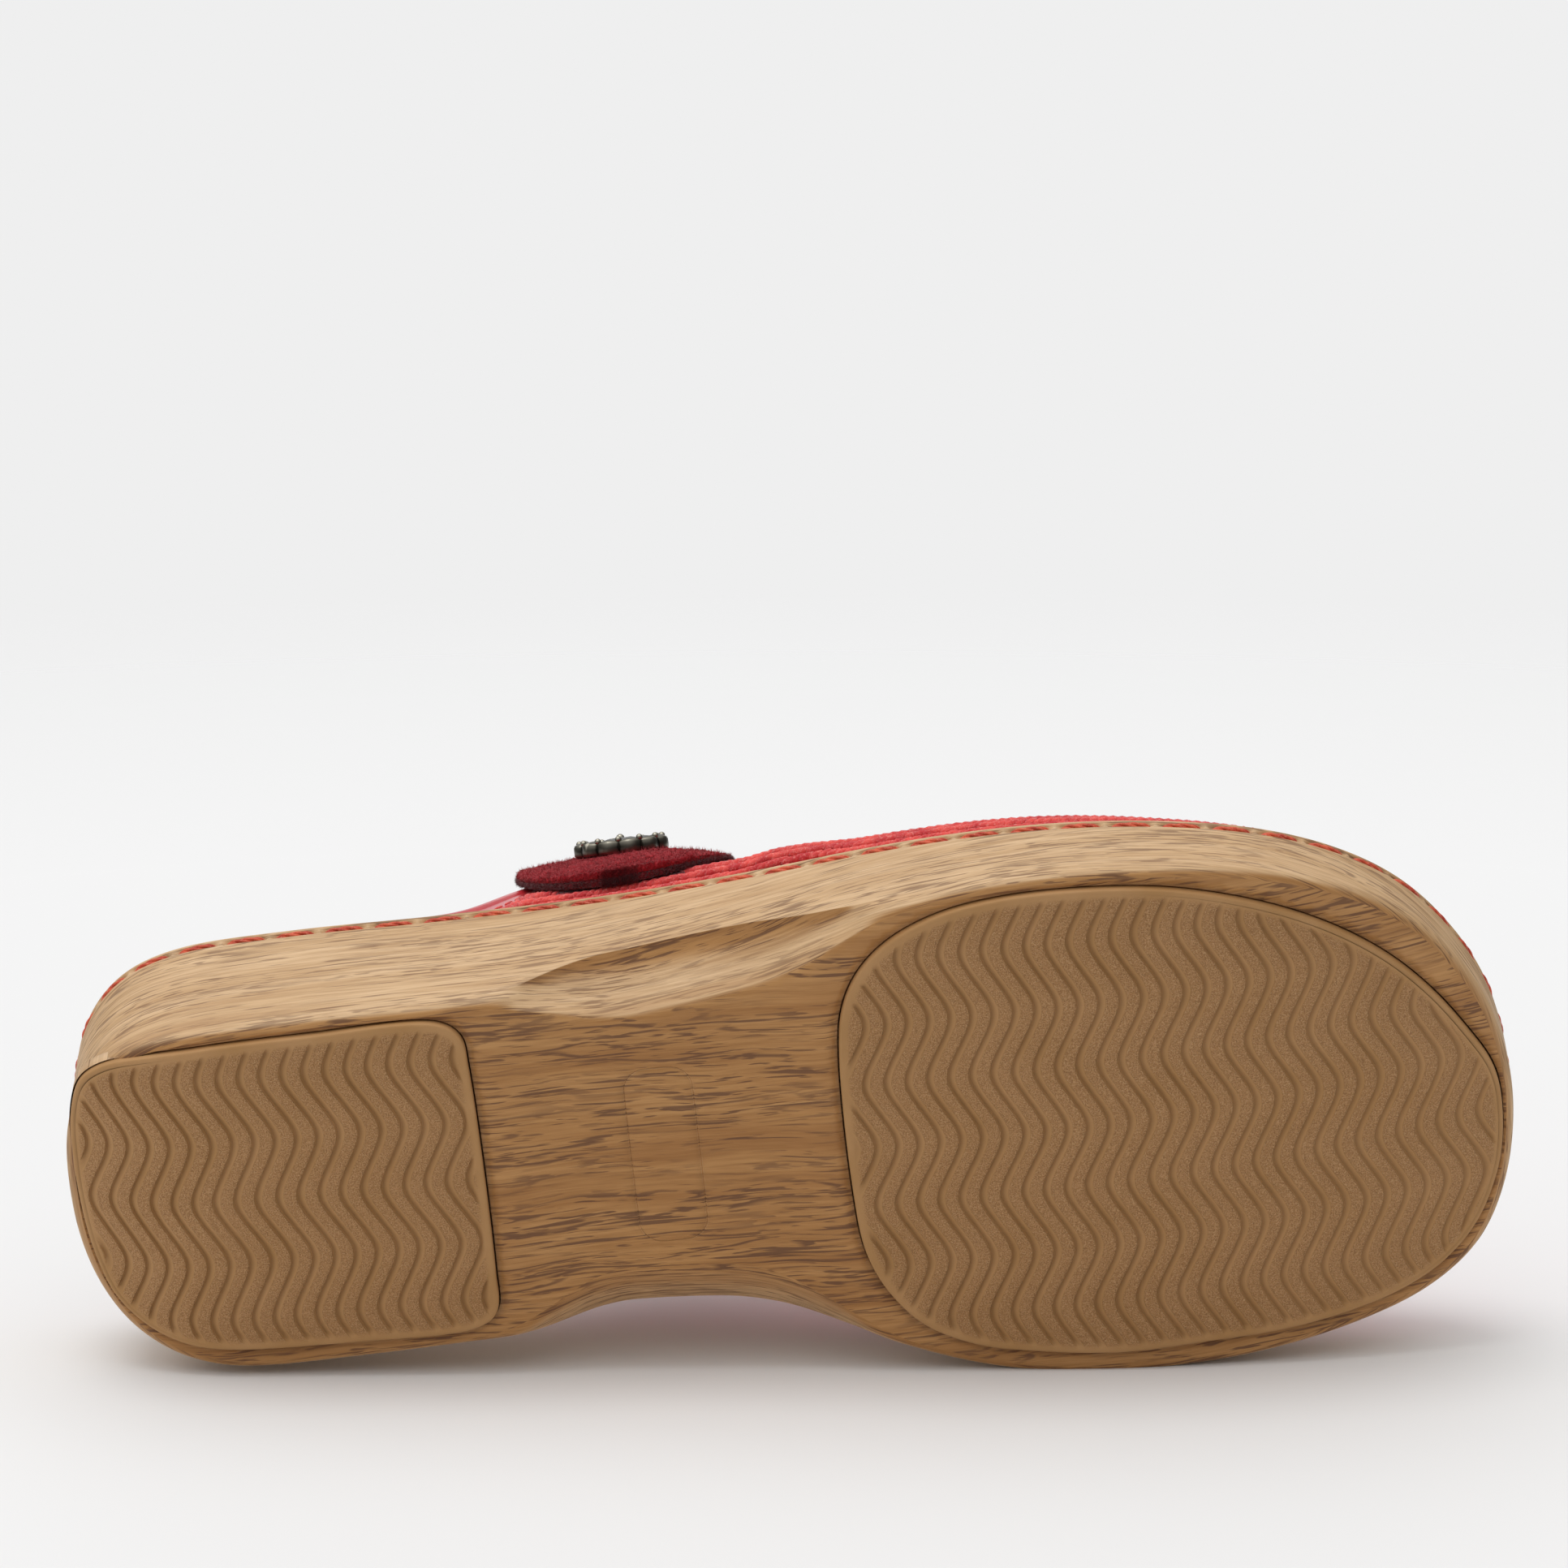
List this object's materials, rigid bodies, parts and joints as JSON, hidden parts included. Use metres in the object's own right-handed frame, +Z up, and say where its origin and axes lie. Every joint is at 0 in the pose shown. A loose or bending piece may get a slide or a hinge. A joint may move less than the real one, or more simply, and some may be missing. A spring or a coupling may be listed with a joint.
{
  "type": "open-back clog",
  "caption": "Right-foot open-back clog: moulded wood-effect cup sole with inset rubber treads, sewn leather upper, layered footbed and a hook-and-loop instep strap tab.",
  "frame": {"origin": "on the ground under the middle of the footprint", "axes": "+X to the toe, +Y to the inner (medial) side of the right foot, +Z up; z = 0 is the lowest face of both treads"},
  "size_m": [0.2683, 0.1058, 0.1009],
  "materials": {
    "wood_effect": "moulded polyurethane with a printed wood grain, satin",
    "tread_rubber": "moulded tan rubber, finely sanded",
    "thread": "waxed polyester thread",
    "steel": "plain spring steel",
    "board": "needled fibre board",
    "cork": "cork and latex, moulded",
    "foam": "open-cell foam",
    "cover_leather": "tan leather, matt",
    "upper_leather": "red leather, glossy, tooled",
    "lining_leather": "natural leather, matt",
    "stiffener": "plain stiffener sheet",
    "hook_and_loop": "red pile",
    "antique_metal": "antiqued dark metal"
  },
  "bodies": {
    "clog": {"cup_sole": "wood_effect", "heel_tread": "tread_rubber", "forefoot_tread": "tread_rubber", "sidewall_thread": "thread", "shank": "steel", "insole_board": "board", "footbed_core": "cork", "footbed_foam": "foam", "footbed_cover": "cover_leather", "vamp_outer": "upper_leather", "vamp_lining": "lining_leather", "toe_puff": "stiffener", "lateral_quarter": "upper_leather", "lateral_quarter_lining": "lining_leather", "medial_quarter": "upper_leather", "medial_quarter_lining": "lining_leather", "heel_rand": "upper_leather", "collar_binding": "upper_leather", "instep_strap": "upper_leather", "instep_strap_lining": "lining_leather", "hook_patch": "hook_and_loop"},
    "tab": {"strap_tab": "upper_leather", "strap_tab_pile": "hook_and_loop", "concho_cap": "antique_metal", "concho_screw": "antique_metal"}
  },
  "joints": [
    {"name": "tab_open", "type": "hinge", "parent": "clog", "child": "tab", "pos_m": [-0.0281, -0.0263, 0.0791], "axis": [-0.9613, 0.0591, 0.2692], "range_deg": [0, 100]}
  ]
}
